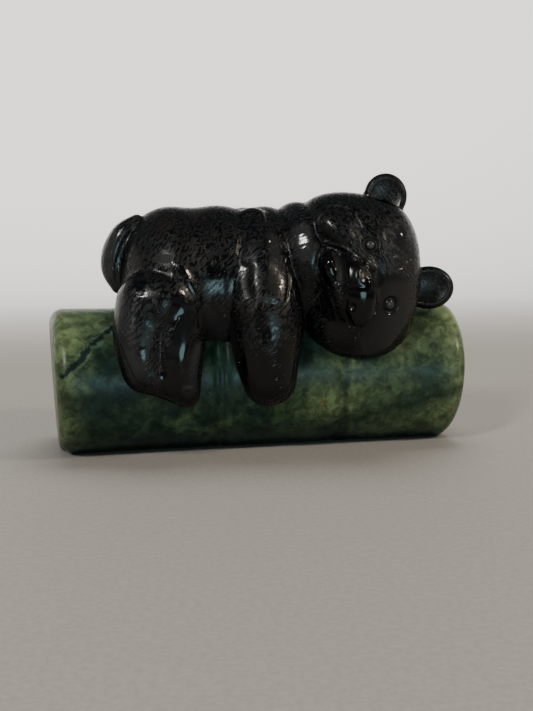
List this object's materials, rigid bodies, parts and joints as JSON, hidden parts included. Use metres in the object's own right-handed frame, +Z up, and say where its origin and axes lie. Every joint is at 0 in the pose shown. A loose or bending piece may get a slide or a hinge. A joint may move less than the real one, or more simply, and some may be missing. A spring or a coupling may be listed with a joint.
{
  "type": "panda carving",
  "caption": "Carved panda lying face down over a bamboo-shaped stone log, its head turned to one side and its legs hanging round the log.",
  "frame": {"origin": "middle of the log's flat underside", "axes": "+X along the log towards the panda's head, +Z up, the panda's face looks to -Y"},
  "size_m": [0.1016, 0.0503, 0.0668],
  "materials": {
    "dark_glass": "polished, with finely etched fur",
    "green_stone": "satin"
  },
  "bodies": {
    "root": {"panda": "dark_glass", "bamboo_log": "green_stone"}
  },
  "joints": []
}
